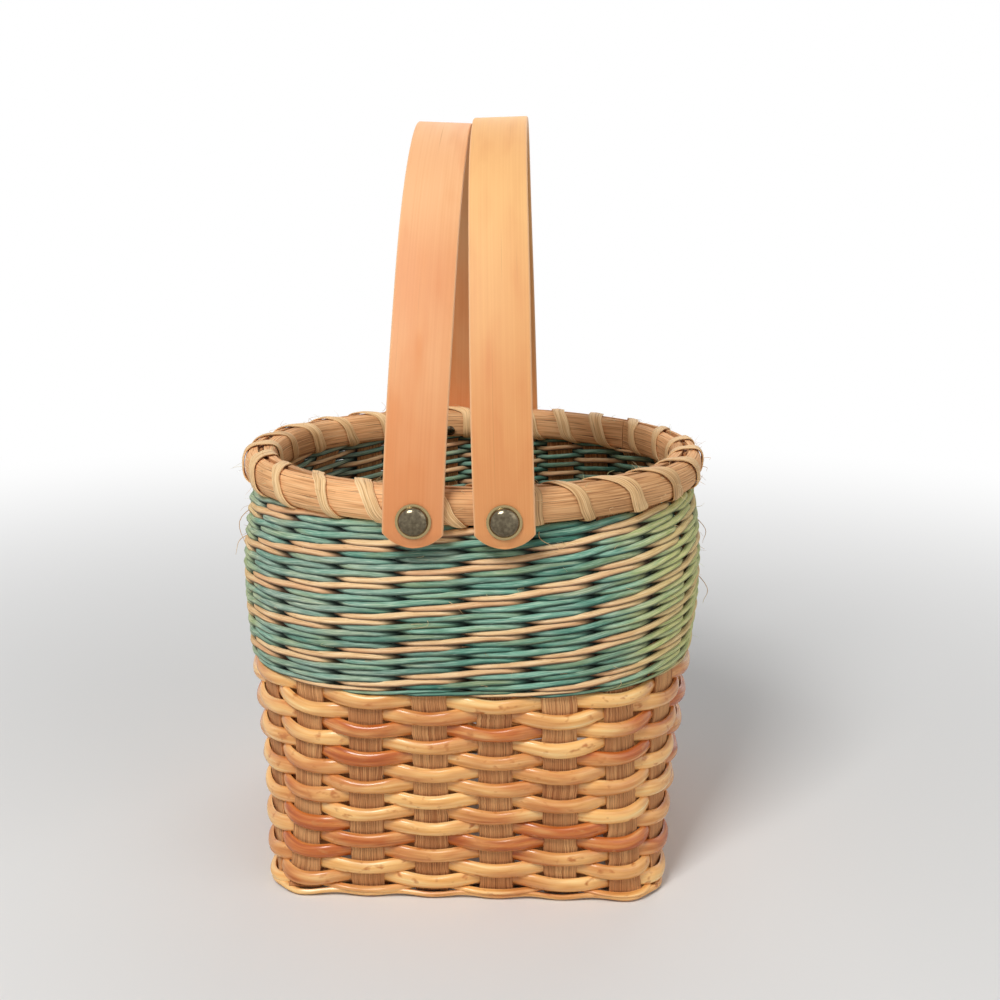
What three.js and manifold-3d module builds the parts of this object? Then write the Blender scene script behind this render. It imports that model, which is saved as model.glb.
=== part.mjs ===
// Small woven basket with two bentwood swing handles.
// Millimetres, +Z up. The origin is on the table under the middle of the base, -Y is the front.
import * as THREE from "three";
import { mergeVertices } from "three/addons/utils/BufferGeometryUtils.js";
import Module from "manifold-3d";

const wasm = await Module();
wasm.setup();

// Running fit and lay of the reed
const clearance = 0.3; // between two pieces that touch on the real basket
const rowGap = 0.3; // between one row of cane and the next

// Stakes: flat reed, six to a side, which cross in the base and turn up into the wall
const stakeWidth = 12.7;
const stakeThickness = 1.2;
const stakesPerSide = 6;
const cornerStakeInset = 10.6; // from the middle of the outermost stake to the side of the base
const splitStakeWidth = 6.4; // the odd stake, split to half its width, in the middle of the back
const stakeBend = 1.3; // how much the reed rounds the edge of the base

// Wall: a square base that swells into a round rim, measured to the middle of the stakes
const baseHalf = 71.6;
const baseCornerRadius = 9;
const rimRadius = 85.2;
const hoopBottom = 149.5; // height of the lower edge of the rim hoops
const wallSwell = 4.2; // how far the wall bows out beyond its even flare
const swellRise = 2.6; // above 1 it bows out most in its upper part
const flareRate = 0.7; // below 1 the wall flares early
const roundingRate = 0.62; // below 1 the corners turn round early
const splitStakeSettle = 40; // height at which the odd stake has its full share of the back

// Lower band: half-round cane, over one stake and under the next, in one climbing line
const caneThickness = 2.2;
const caneTurns = 14.7; // turns of the climbing line round the basket
const caneFrom = 3.6;
const caneTo = 86.3;
const caneTaper = 1.6; // height of the cane at its tapered first and last ends
const laneOverhang = 0.6; // how far the cane runs on past a stake's edge before it turns in
const bindingHeight = 2.6; // thin strand that locks the edge of the base
const bindingThickness = 1.8;
const bindingFrom = 0.3;

// Upper band: round rods in three-rod wale, two on the outside of each stake and one inside
const rodRounds = 14;
const rodRoundHeight = 4.32;
const rodDiameter = 2.3;
const rodValley = 0.9; // depth of the groove between one round and the next
const waleStations = 9; // on each side of the basket

// Rim: two half-round hoops with the stake tops between them, lashed with flat cane
const hoopHeight = 12.5;
const hoopThickness = 5.2;
const hoopRound = 3.4; // height over which a hoop's outer face rounds off
const hoopStations = 40;
const scarfLength = 14; // slant of the joint where a hoop's ends meet
const scarfGap = 0.4;
const stakeTopInset = 0.8; // stakes stop this far below the top of the hoops
const lashWidth = 4.6;
const lashThickness = 0.9;
const lashLean = 0.36; // share of a stake pitch that a wrap leans on each face

// Handles: two bent strips on four rivets, front and back
const handleWidth = 20;
const handleThickness = 2.6;
const handleRise = 135; // from the rivets to the middle of the strip at the crown
const handleArch = 1.83; // exponent of the arch: 2 is an ellipse, lower is more pointed
const handleEnd = 9.4; // from the rivet to the tip of the leg
const handleEndStraight = 4.6; // where the rounding of the tip starts
const handleStandoff = 1.7; // legs stand off the hoop by the lashing's thickness
const handleSteps = 24;
const pivotShare = 0.688; // from the middle to a rivet, as a share of the stake pitch at the rim
const pivotAboveHoop = 3.3; // from the lower edge of the hoops

// Rivets: a domed cap outside on a post whose small head is inside
const postRadius = 2.2;
const headRadius = 3;
const headThickness = 1.2;
const capRadius = 5.9;
const capFlange = 0.8;
const capRise = 3.4;

// Values worked out from the sizes above
const sideCounts = [stakesPerSide, stakesPerSide, stakesPerSide + 1, stakesPerSide];
const sideStarts = [0, 1, 2, 3].map((side) => sideCounts.slice(0, side).reduce((a, b) => a + b, 0));
const stakeCount = sideCounts.reduce((a, b) => a + b, 0);
const splitStake = sideStarts[2] + stakesPerSide / 2;
const hoopTop = hoopBottom + hoopHeight;
const stakeTop = hoopTop - stakeTopInset;
const basePitch = (2 * (baseHalf - cornerStakeInset)) / (stakesPerSide - 1);
const rimPitch = (2 * Math.PI * rimRadius) / (4 * stakesPerSide);
const waleFrom = caneTo + clearance;
const waleTo = waleFrom + rodRounds * rodRoundHeight;
const waleLevels = [1, 2, 3].map((n) => caneTo + ((hoopBottom - caneTo) * n) / 4);
const levels = [0, 10, 28, 56, caneTo, ...waleLevels, hoopBottom, stakeTop];
const laneOffset = stakeThickness / 2 + clearance + caneThickness / 2;
const edgeBulge = (stakeWidth / 2) ** 2 / (2 * rimRadius); // a flat stake's edge stands proud of the round
const hoopFacet = rimRadius * (1 - Math.cos(Math.PI / hoopStations)); // sagitta of one flat of a hoop
const outerHoopFrom = stakeThickness / 2 + edgeBulge + hoopFacet + 1.2 * clearance;
const innerHoopFrom = stakeThickness / 2 + clearance;
const pivotX = pivotShare * rimPitch;
const pivotZ = hoopBottom + pivotAboveHoop;
const legInner = rimRadius + outerHoopFrom + hoopThickness + handleStandoff;
const legMiddle = legInner + handleThickness / 2;
const legOuter = legInner + handleThickness;
const crown = handleRise + handleThickness / 2;
const handleLean = Math.asin((pivotX - handleWidth / 2 - clearance / 2) / crown);

// Materials
const finish = (color, roughness, metalness = 0) =>
  new THREE.MeshStandardMaterial({ color, roughness, metalness });
const flatReed = finish("#b98a62", 0.75);
const goldenCane = finish("#e0a860", 0.35);
const amberCane = finish("#c27238", 0.35);
const dyedRod = finish("#4f8f80", 0.7);
const hoopReed = finish("#d3a172", 0.7);
const lashCane = finish("#e3c084", 0.6);
const bentwood = finish("#eeb07a", 0.5);
const agedBrass = finish("#6b6246", 0.35, 0.9);

const basket = new THREE.Group();
function addPiece(name, geometry, material, parent = basket) {
  const mesh = new THREE.Mesh(geometry, material);
  mesh.name = name;
  parent.add(mesh);
  return mesh;
}

// A closed solid through a run of sections with the same number of corners. Each side face between
// two sections folds along the diagonal that keeps the solid slimmer, and faces turn outwards.
function loft(sections, closed = false) {
  const corners = sections[0].length;
  const points = sections.flat();
  const sixfold = (...face) => {
    const [p, q, r] = face.map((index) => points[index]);
    return p.dot(q.clone().cross(r));
  };
  const sides = [];
  const runs = closed ? sections.length : sections.length - 1;
  for (let i = 0; i < runs; i++) {
    const a = i * corners;
    const b = ((i + 1) % sections.length) * corners;
    for (let j = 0; j < corners; j++) {
      const k = (j + 1) % corners;
      const foldOne = [[a + j, a + k, b + k], [a + j, b + k, b + j]];
      const foldTwo = [[a + j, a + k, b + j], [a + k, b + k, b + j]];
      sides.push([foldOne, foldTwo]);
    }
  }
  const ends = [];
  if (!closed) {
    const last = (sections.length - 1) * corners;
    for (let j = 1; j < corners - 1; j++) {
      ends.push([0, j + 1, j], [last, last + j, last + j + 1]);
    }
  }
  const measure = (faces) => faces.reduce((sum, face) => sum + sixfold(...face), 0);
  const inOrder = measure(sides.flatMap(([foldOne]) => foldOne)) + measure(ends) > 0 ? 1 : -1;
  const slimmer = ([foldOne, foldTwo]) =>
    inOrder * measure(foldOne) <= inOrder * measure(foldTwo) ? foldOne : foldTwo;
  const faces = [...sides.flatMap(slimmer), ...ends].flat();
  if (inOrder < 0) faces.reverse();
  const geometry = new THREE.BufferGeometry().setFromPoints(points);
  geometry.setIndex(faces);
  geometry.computeVertexNormals();
  return geometry;
}

// Boolean cuts: a geometry becomes a solid and comes back
function toSolid(geometry) {
  const bare = geometry.clone();
  bare.deleteAttribute("normal");
  bare.deleteAttribute("uv");
  const merged = mergeVertices(bare, 1e-4);
  return new wasm.Manifold(
    new wasm.Mesh({
      numProp: 3,
      vertProperties: new Float32Array(merged.attributes.position.array),
      triVerts: new Uint32Array(merged.index.array),
    }),
  );
}
function toGeometry(solid) {
  const mesh = solid.getMesh();
  const geometry = new THREE.BufferGeometry();
  geometry.setAttribute("position", new THREE.BufferAttribute(mesh.vertProperties, 3));
  geometry.setIndex(new THREE.BufferAttribute(mesh.triVerts, 1));
  geometry.computeVertexNormals();
  return geometry;
}
const cut = (geometry, tools) =>
  toGeometry(tools.reduce((solid, tool) => solid.subtract(tool), toSolid(geometry)));

// The wall at a height: half width, corner radius and pitch of the stakes
function wallShape(z) {
  const t = Math.min(Math.max(z / hoopBottom, 0), 1);
  const flare = (rimRadius - baseHalf) * t ** flareRate;
  const swell = wallSwell * Math.sin(Math.PI * t ** swellRise);
  return {
    half: baseHalf + flare + swell,
    corner: baseCornerRadius + (rimRadius - baseCornerRadius) * t ** roundingRate,
    pitch: basePitch + (rimPitch - basePitch) * t,
  };
}

// Length of one side of the wall at a height, from the middle of one corner to the next
function wallLength(z) {
  const { half, corner } = wallShape(z);
  return 2 * (half - corner) + (corner * Math.PI) / 2;
}

// A point on the wall, by its side and its distance along the wall from that side's middle
function wallPoint(side, along, z) {
  const { half, corner } = wallShape(z);
  const straight = Math.max(half - corner, 0);
  const turn = Math.max(Math.abs(along) - straight, 0) / corner;
  const sign = Math.sign(along);
  const flat = Math.min(Math.abs(along), straight);
  const place = new THREE.Vector3(
    sign * (flat + corner * Math.sin(turn)),
    -(half - corner) - corner * Math.cos(turn),
    z,
  );
  const normal = new THREE.Vector3(sign * Math.sin(turn), -Math.cos(turn), 0);
  const up = new THREE.Vector3(0, 0, 1);
  const angle = (side * Math.PI) / 2;
  return { place: place.applyAxisAngle(up, angle), normal: normal.applyAxisAngle(up, angle) };
}

// Where stake number i lies on its side at a height
const sideOf = (i) => sideStarts.findLastIndex((start) => i >= start);
function alongSide(i, z) {
  const side = sideOf(i);
  const j = i - sideStarts[side];
  const middle = (stakesPerSide - 1) / 2;
  const pitch = wallShape(z).pitch;
  if (sideCounts[side] === stakesPerSide) return (j - middle) * pitch;
  const inBase = j < stakesPerSide / 2 ? j - middle : j > stakesPerSide / 2 ? j - 1 - middle : 0;
  const spread = ((j - stakesPerSide / 2) * (stakesPerSide - 1)) / stakesPerSide;
  const settled = Math.min(z / splitStakeSettle, 1);
  return (inBase + (spread - inBase) * settled) * pitch;
}
const wrap = (i) => ((i % stakeCount) + stakeCount) % stakeCount;

// Frames on the wall run straight from level to level, as the stakes do
function betweenLevels(frameAt, z) {
  const top = Math.max(levels.findIndex((level) => level >= z), 1);
  const [low, high] = [frameAt(levels[top - 1]), frameAt(levels[top])];
  const share = (z - levels[top - 1]) / (levels[top] - levels[top - 1]);
  const place = low.place.lerp(high.place, share);
  const normal = low.normal.lerp(high.normal, share).normalize();
  return { place, normal, along: new THREE.Vector3(-normal.y, normal.x, 0) };
}
const stakeFrame = (i, z) =>
  betweenLevels((level) => wallPoint(sideOf(i), alongSide(i, level), level), z);
function gapFrame(i, z) {
  const [side, next] = [sideOf(i), sideOf(wrap(i + 1))];
  return betweenLevels((level) => {
    if (side === next) {
      return wallPoint(side, (alongSide(i, level) + alongSide(i + 1, level)) / 2, level);
    }
    const { half, corner } = wallShape(level);
    return wallPoint(side, half - corner + (corner * Math.PI) / 4, level);
  }, z);
}
const offset = (frame, out, along, up = 0) =>
  frame.place
    .clone()
    .addScaledVector(frame.normal, out)
    .addScaledVector(frame.along, along)
    .add(new THREE.Vector3(0, 0, up));

// Rivet lines, used as the hinge of the handles and as the cutters for their holes
const pivotXs = { left: -pivotX, right: pivotX };
function boreTool(radius, x) {
  const bore = new THREE.CylinderGeometry(radius, radius, 2 * (legOuter + capRise), 16);
  bore.translate(x, 0, pivotZ);
  return toSolid(bore);
}
const rimBores = Object.values(pivotXs).map((x) => boreTool(postRadius + clearance, x));

// Stakes that cross the base: a strip down one wall, through the plain weave of the base, up the other
const halfBase = (stakesPerSide - 1) / 2;
const baseUnder = stakeThickness / 2; // middle of a strip that runs under
const baseOver = baseUnder + stakeThickness + clearance; // and of one that runs over
function stripSection(place, width, thickness, across, out) {
  const [w, t] = [width / 2, thickness / 2];
  return [
    [-w, -t],
    [w, -t],
    [w, t],
    [-w, t],
  ].map(([a, b]) => place.clone().addScaledVector(across, a).addScaledVector(out, b));
}
function wallSections(i, width, from, flip) {
  return [from, ...levels.filter((level) => level > from + 1)].map((z) => {
    const frame = stakeFrame(i, z);
    return stripSection(frame.place, width, stakeThickness, frame.along.multiplyScalar(flip), frame.normal);
  });
}
function crossingStake(number, runsFrontToBack) {
  const place = (number - halfBase) * basePitch;
  const isOver = (other) => ((number + other) % 2 === 0) === runsFrontToBack;
  const height = (other) => (isOver(other) ? baseOver : baseUnder);
  const direction = runsFrontToBack ? new THREE.Vector3(0, 1, 0) : new THREE.Vector3(1, 0, 0);
  const across = runsFrontToBack ? new THREE.Vector3(1, 0, 0) : new THREE.Vector3(0, 1, 0);
  const down = new THREE.Vector3(0, 0, -1);
  const at = (run, z) =>
    stripSection(
      direction.clone().multiplyScalar(run).addScaledVector(across, place).setZ(z),
      stakeWidth,
      stakeThickness,
      across,
      down,
    );
  const reach = stakeWidth / 2 + clearance;
  const inBase = [at(stakeBend - baseHalf, height(0))];
  for (let other = 0; other < stakesPerSide; other++) {
    const crossing = (other - halfBase) * basePitch;
    if (other > 0) inBase.push(at(crossing - reach, height(other)));
    if (other < stakesPerSide - 1) inBase.push(at(crossing + reach, height(other)));
  }
  inBase.push(at(baseHalf - stakeBend, height(stakesPerSide - 1)));
  const backNumber = stakesPerSide - 1 - number;
  const backIndex = sideStarts[2] + backNumber + (backNumber >= stakesPerSide / 2 ? 1 : 0);
  const ends = runsFrontToBack
    ? [sideStarts[0] + number, backIndex]
    : [sideStarts[3] + stakesPerSide - 1 - number, sideStarts[1] + number];
  const flips = runsFrontToBack ? [1, -1] : [-1, 1];
  const up = [0, stakesPerSide - 1].map((other) => height(other) + stakeBend);
  return loft([
    ...wallSections(ends[0], stakeWidth, up[0], flips[0]).reverse(),
    ...inBase,
    ...wallSections(ends[1], stakeWidth, up[1], flips[1]),
  ]);
}
for (let n = 0; n < stakesPerSide; n++) {
  addPiece(`stake_front_to_back_${n + 1}`, cut(crossingStake(n, true), rimBores), flatReed);
  addPiece(`stake_left_to_right_${n + 1}`, cut(crossingStake(n, false), rimBores), flatReed);
}
const splitStakeFrom = baseOver + stakeThickness;
addPiece("split_stake_back", loft(wallSections(splitStake, splitStakeWidth, splitStakeFrom, 1)), flatReed);

// Lower band: one line of cane that climbs a row each turn, in lengths of one turn joined behind a stake
const canePitch = (caneTo - caneFrom - 2 * caneTaper - rowGap) / (caneTurns - 1);
const caneTop = (turns) => Math.min(caneFrom + caneTaper + canePitch * turns, caneTo);
const caneBottom = (turns) =>
  Math.max(caneFrom, caneFrom + caneTaper + rowGap + canePitch * (turns - 1));
const halfWidthOf = (i) => (i === splitStake ? splitStakeWidth : stakeWidth) / 2;
function caneSection(frameAt, out, along, turns) {
  const [low, high] = [caneBottom(turns), caneTop(turns)];
  const half = caneThickness / 2;
  return [
    [-half, low],
    [-half, high],
    [half, (low + high) / 2],
  ].map(([a, z]) => offset(frameAt(z), out + a, along));
}
function caneRow(from, to) {
  const sections = [];
  for (let pass = from; pass <= to; pass++) {
    const i = wrap(-pass);
    const out = pass % 2 === 0 ? -laneOffset : laneOffset;
    const reach = halfWidthOf(i) + laneOverhang;
    const tip = clearance;
    const stops = pass === from ? [-tip, -reach] : pass === to ? [reach, tip] : [reach, -reach];
    for (const along of stops) {
      const turns = (pass - along / basePitch) / stakeCount;
      sections.push(caneSection((z) => stakeFrame(i, z), out, along, turns));
    }
    const next = wrap(i - 1);
    if (pass < to && sideOf(next) !== sideOf(i)) {
      const turns = (pass + 0.5) / stakeCount;
      sections.push(caneSection((z) => gapFrame(next, z), stakeThickness, 0, turns));
    }
  }
  return loft(sections);
}
const lastPass = 2 * Math.round((caneTurns * stakeCount) / 2);
const rowEnd = (row) => Math.min(stakeCount * row + ((stakeCount * row) % 2), lastPass);
for (let row = 0; row < Math.ceil(caneTurns); row++) {
  const name = `cane_row_${String(row + 1).padStart(2, "0")}`;
  addPiece(name, caneRow(rowEnd(row), rowEnd(row + 1)), row % 4 === 2 ? amberCane : goldenCane);
}

// Thin strand that locks the stakes round the edge of the base
function bindingStrand() {
  const out = (stakeThickness + bindingThickness) / 2 + clearance;
  const section = (frameAt, along) =>
    [
      [-1, 0],
      [-1, 1],
      [1, 1],
      [1, 0],
    ].map(([side, end]) => {
      const frame = frameAt(bindingFrom + end * bindingHeight);
      return offset(frame, out + (side * bindingThickness) / 2, along);
    });
  const sections = [];
  for (let k = 0; k < stakeCount; k++) {
    const i = wrap(splitStake + k);
    const reach = halfWidthOf(i) + laneOverhang;
    const frameAt = (z) => stakeFrame(i, z);
    sections.push(section(frameAt, k === 0 ? clearance : -reach), section(frameAt, reach));
    if (sideOf(i) !== sideOf(wrap(i + 1))) sections.push(section((z) => gapFrame(i, z), 0));
  }
  const frameAt = (z) => stakeFrame(splitStake, z);
  const reach = halfWidthOf(splitStake) + laneOverhang;
  sections.push(section(frameAt, -reach), section(frameAt, -clearance));
  return loft(sections);
}
addPiece("base_binding_strand", bindingStrand(), goldenCane);

// Upper band: rounds of rod, ribbed outside, with a channel for each stake
function waleBand() {
  const skin = stakeThickness / 2 + clearance + rodDiameter;
  const profile = [];
  for (let round = 0; round < rodRounds; round++) {
    const low = waleFrom + round * rodRoundHeight;
    profile.push([skin - rodValley / 2, low], [skin + rodValley / 2, low + rodRoundHeight / 2]);
  }
  profile.push([skin - rodValley / 2, waleTo]);
  const between = levels.filter((z) => z > waleFrom && z < waleTo);
  const innerLevels = [waleTo, ...between.toReversed(), waleFrom];
  profile.push(...innerLevels.map((z) => [-skin, z]));
  const sections = [];
  for (let station = 0; station < 4 * waleStations; station++) {
    const side = Math.floor(station / waleStations);
    const share = ((station % waleStations) + 0.5) / waleStations - 0.5;
    const frameAt = (z) => betweenLevels((level) => wallPoint(side, share * wallLength(level), level), z);
    sections.push(profile.map(([out, z]) => offset(frameAt(z), out, 0)));
  }
  const channels = [];
  for (let i = 0; i < stakeCount; i++) {
    const heights = [waleFrom - 1, ...between, waleTo + 1];
    const channel = heights.map((z) => {
      const frame = stakeFrame(i, z);
      const width = 2 * (halfWidthOf(i) + clearance);
      return stripSection(frame.place, width, stakeThickness + 2 * clearance, frame.along, frame.normal);
    });
    channels.push(toSolid(loft(channel)));
  }
  return cut(loft(sections, true), channels);
}
addPiece("wale_band", waleBand(), dyedRod);

// Rim hoops: half-round reed bent to a circle, with slanted ends that meet
function hoop(from, side, startAngle) {
  const flat = hoopThickness * 0.62;
  const profile = [
    [0, 0],
    [flat, 0],
    [hoopThickness, hoopRound],
    [hoopThickness, hoopHeight - hoopRound],
    [flat, hoopHeight],
    [0, hoopHeight],
  ];
  const sections = [];
  for (let i = 0; i <= hoopStations; i++) {
    const isEnd = i === 0 || i === hoopStations;
    const turn = ((2 * Math.PI - scarfGap / rimRadius) * i) / hoopStations;
    sections.push(
      profile.map(([out, up]) => {
        const slant = isEnd ? ((out / hoopThickness - 0.5) * scarfLength) / rimRadius : 0;
        const angle = startAngle + turn + slant;
        const radius = rimRadius + side * (from + out);
        return new THREE.Vector3(radius * Math.cos(angle), radius * Math.sin(angle), hoopBottom + up);
      }),
    );
  }
  return loft(sections);
}
addPiece("outer_hoop", cut(hoop(outerHoopFrom, 1, 2.2), rimBores), hoopReed);
addPiece("inner_hoop", cut(hoop(innerHoopFrom, -1, 0.7), rimBores), hoopReed);

// Lashing: flat cane wound over both hoops, through the gap between two stakes under the hoops
function rimAngle(s) {
  const at = (i) => {
    const turns = Math.floor(i / stakeCount);
    const index = i - turns * stakeCount;
    const side = sideOf(index);
    const along = alongSide(index, hoopBottom) / rimRadius;
    return (side - 1) * (Math.PI / 2) + along + 2 * Math.PI * turns;
  };
  const low = Math.floor(s);
  return at(low) + (at(low + 1) - at(low)) * (s - low);
}
function lashing() {
  const ease = clearance + lashThickness / 2;
  const outer = outerHoopFrom + hoopThickness;
  const inner = innerHoopFrom + hoopThickness;
  const [lift, rounding] = [ease + clearance / 2, hoopThickness * 0.24];
  const loop = [
    [rounding - inner, -lift],
    [outer - rounding, -lift],
    [outer + ease, hoopRound],
    [outer + ease, hoopHeight - hoopRound],
    [outer - rounding, hoopHeight + lift],
    [rounding - inner, hoopHeight + lift],
    [-inner - hoopFacet - lift, hoopHeight - hoopRound],
    [-inner - hoopFacet - lift, hoopRound],
  ];
  const normals = loop.map(([x, z], i) => {
    const [before, after] = [loop[(i + 7) % 8], loop[(i + 1) % 8]];
    const unit = new THREE.Vector2(after[1] - before[1], before[0] - after[0]).normalize();
    return [unit.x, unit.y];
  });
  const pitchAt = (s) => rimRadius * Math.abs(rimAngle(s + 0.5) - rimAngle(s - 0.5));
  const rivetXs = Object.values(pivotXs);
  // A passage in the gap after stake i keeps away from a rivet, as far as the gap lets it
  const passage = (i) => {
    const s = i + 0.5;
    const x = rimRadius * Math.cos(rimAngle(s));
    const y = Math.sin(rimAngle(s));
    const near = rivetXs.find((r) => Math.abs(x - r) < lashWidth + headRadius);
    if (near === undefined || Math.abs(y) < 0.8) return s;
    const slack = (pitchAt(s) - stakeWidth - lashWidth) / 2 - clearance;
    const away = Math.sign(x - near) * (y < 0 ? 1 : -1);
    return s + (away * Math.max(slack, 0)) / pitchAt(s);
  };
  const crosses = (from, to, reach) => {
    const xs = [from, to].map((s) => rimRadius * Math.cos(rimAngle(s)));
    const isSide = Math.abs(Math.sin(rimAngle(from))) < 0.8;
    const [low, high] = [Math.min(...xs) - reach, Math.max(...xs) + reach];
    return !isSide && rivetXs.some((r) => r > low && r < high);
  };
  const sections = [];
  const shares = [0, 0, 0.28, 0.75, 1];
  for (let k = stakeCount - 1; k >= 0; k--) {
    const [here, next] = [passage(k), passage(k - 1)];
    const outLean = crosses(here, here - lashLean / 2, lashWidth / 2 + postRadius) ? 0 : lashLean;
    const inLean = crosses(next + lashLean / 2, next, lashWidth / 2 + headRadius) ? 0 : lashLean;
    const stops = [
      ...shares.map((share) => here - outLean * share),
      next + inLean,
      next + inLean * 0.75,
      next + inLean * 0.28,
    ];
    stops.forEach((s, j) => {
      const angle = rimAngle(s);
      const out = new THREE.Vector3(Math.cos(angle), Math.sin(angle), 0);
      const across = new THREE.Vector3(-Math.sin(angle), Math.cos(angle), 0);
      const place = out.clone().multiplyScalar(rimRadius + loop[j][0]).setZ(hoopBottom + loop[j][1]);
      const normal = out.multiplyScalar(normals[j][0]).setZ(normals[j][1]);
      sections.push(stripSection(place, lashWidth, lashThickness, across, normal));
    });
  }
  return loft(sections);
}
addPiece("rim_lashing", lashing(), lashCane);

// Handles: a strip bent to an arch, legs outside the hoop, tips rounded, a hole for each rivet
function handle() {
  const middle = [new THREE.Vector2(-legMiddle, -handleEnd - 1)];
  for (let i = 0; i <= handleSteps; i++) {
    const t = (Math.PI * i) / handleSteps;
    const power = 2 / handleArch;
    middle.push(
      new THREE.Vector2(
        -legMiddle * Math.sign(Math.cos(t)) * Math.abs(Math.cos(t)) ** power,
        handleRise * Math.abs(Math.sin(t)) ** power,
      ),
    );
  }
  middle.push(new THREE.Vector2(legMiddle, -handleEnd - 1));
  const side = (sign) =>
    middle.map((point, i) => {
      const before = middle[Math.max(i - 1, 0)];
      const after = middle[Math.min(i + 1, middle.length - 1)];
      const run = after.clone().sub(before).normalize();
      return new THREE.Vector2(
        point.x - sign * run.y * (handleThickness / 2),
        point.y + sign * run.x * (handleThickness / 2),
      );
    });
  const strip = new THREE.ExtrudeGeometry(new THREE.Shape([...side(1), ...side(-1).reverse()]), {
    depth: handleWidth,
    bevelEnabled: false,
  });
  strip.translate(0, 0, -handleWidth / 2);
  strip.applyMatrix4(
    new THREE.Matrix4().makeBasis(
      new THREE.Vector3(0, 1, 0),
      new THREE.Vector3(0, 0, 1),
      new THREE.Vector3(1, 0, 0),
    ),
  );
  const half = handleWidth / 2;
  const sagitta = handleEnd - handleEndStraight;
  const tipRadius = (half ** 2 + sagitta ** 2) / (2 * sagitta);
  const tipCentre = tipRadius - handleEnd;
  const tipAngle = Math.atan2(-handleEndStraight - tipCentre, half);
  const outline = new THREE.Shape();
  outline.moveTo(half + 1, crown + 1);
  outline.lineTo(-half - 1, crown + 1);
  outline.lineTo(-half - 1, -handleEndStraight);
  outline.lineTo(-half, -handleEndStraight);
  outline.absarc(0, tipCentre, tipRadius, -Math.PI - tipAngle, tipAngle, false);
  outline.lineTo(half + 1, -handleEndStraight);
  const frontView = new THREE.ExtrudeGeometry(outline, {
    depth: 2 * legOuter + 2,
    bevelEnabled: false,
    curveSegments: 8,
  });
  frontView.translate(0, 0, -legOuter - 1);
  frontView.rotateX(Math.PI / 2);
  const bore = new THREE.CylinderGeometry(postRadius + clearance, postRadius + clearance, 2 * legOuter + 2, 16);
  return toGeometry(toSolid(strip).intersect(toSolid(frontView)).subtract(toSolid(bore)));
}
for (const [side, x] of Object.entries(pivotXs)) {
  const swing = new THREE.Group();
  swing.position.set(x, 0, pivotZ);
  swing.rotation.y = -Math.sign(x) * handleLean;
  addPiece(`${side}_handle`, handle(), bentwood, swing);
  basket.add(swing);
}

// Rivets: the post's head is inside the inner hoop, its end sits in the socket of the domed cap
const hoopInside = rimRadius - innerHoopFrom - hoopThickness;
const headFace = Math.sqrt(hoopInside ** 2 - (pivotX + headRadius) ** 2) - clearance;
const capFace = legOuter + clearance;
const socketDepth = capRise / 2;
const lathe = (points, sides) =>
  new THREE.LatheGeometry(points.map(([r, y]) => new THREE.Vector2(r, y)), sides);
function post() {
  const end = capFace + socketDepth - clearance;
  return lathe(
    [
      [0, headFace - headThickness],
      [headRadius, headFace - headThickness],
      [headRadius, headFace],
      [postRadius, headFace],
      [postRadius, end],
      [0, end],
    ],
    12,
  );
}
function cap() {
  const socket = postRadius + clearance;
  return lathe(
    [
      [0, capFace + socketDepth],
      [socket, capFace + socketDepth],
      [socket, capFace],
      [capRadius, capFace],
      [capRadius, capFace + capFlange],
      [capRadius * 0.86, capFace + capFlange],
      [capRadius * 0.76, capFace + capRise * 0.62],
      [capRadius * 0.45, capFace + capRise * 0.9],
      [0, capFace + capRise],
    ],
    14,
  );
}
for (const [end, turn] of Object.entries({ front: Math.PI, back: 0 })) {
  for (const [side, x] of Object.entries(pivotXs)) {
    const rivet = new THREE.Group();
    rivet.position.set(x, 0, pivotZ);
    rivet.rotation.z = turn;
    addPiece(`rivet_post_${end}_${side}`, post(), agedBrass, rivet);
    addPiece(`rivet_cap_${end}_${side}`, cap(), agedBrass, rivet);
    basket.add(rivet);
  }
}

export default basket;
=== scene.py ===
"""Small woven basket with a square base, a round rim and two bentwood swing handles.

Everything is worked out in millimetres and written to the meshes in metres. +Z is up and -Y is
the front. The wall is one surface, wall_at(s, z): s counts the uprights anticlockwise from the front
left corner and z is the height. Each strand is a section carried along a path on that surface.
"""

import bpy
import numpy as np
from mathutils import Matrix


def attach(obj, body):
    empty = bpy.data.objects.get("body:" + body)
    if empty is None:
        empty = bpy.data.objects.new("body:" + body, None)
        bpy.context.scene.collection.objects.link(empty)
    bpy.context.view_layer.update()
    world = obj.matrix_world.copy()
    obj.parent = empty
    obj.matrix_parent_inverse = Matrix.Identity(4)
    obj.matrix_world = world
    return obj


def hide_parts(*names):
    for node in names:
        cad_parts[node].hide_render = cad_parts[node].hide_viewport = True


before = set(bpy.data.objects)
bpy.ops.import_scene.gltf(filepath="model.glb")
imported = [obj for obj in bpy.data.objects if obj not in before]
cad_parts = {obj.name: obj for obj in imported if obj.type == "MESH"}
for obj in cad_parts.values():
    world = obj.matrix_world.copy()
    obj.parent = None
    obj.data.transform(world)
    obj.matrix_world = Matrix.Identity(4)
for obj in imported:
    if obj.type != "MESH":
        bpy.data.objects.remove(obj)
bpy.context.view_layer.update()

# Camera
# Stands where the photograph was taken from: a little right of the middle, above the rim.


def in_scene(name, data):
    """An object in the scene for a mesh, a camera or a lamp."""
    thing = bpy.data.objects.new(name, data)
    bpy.context.scene.collection.objects.link(thing)
    return thing


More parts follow.
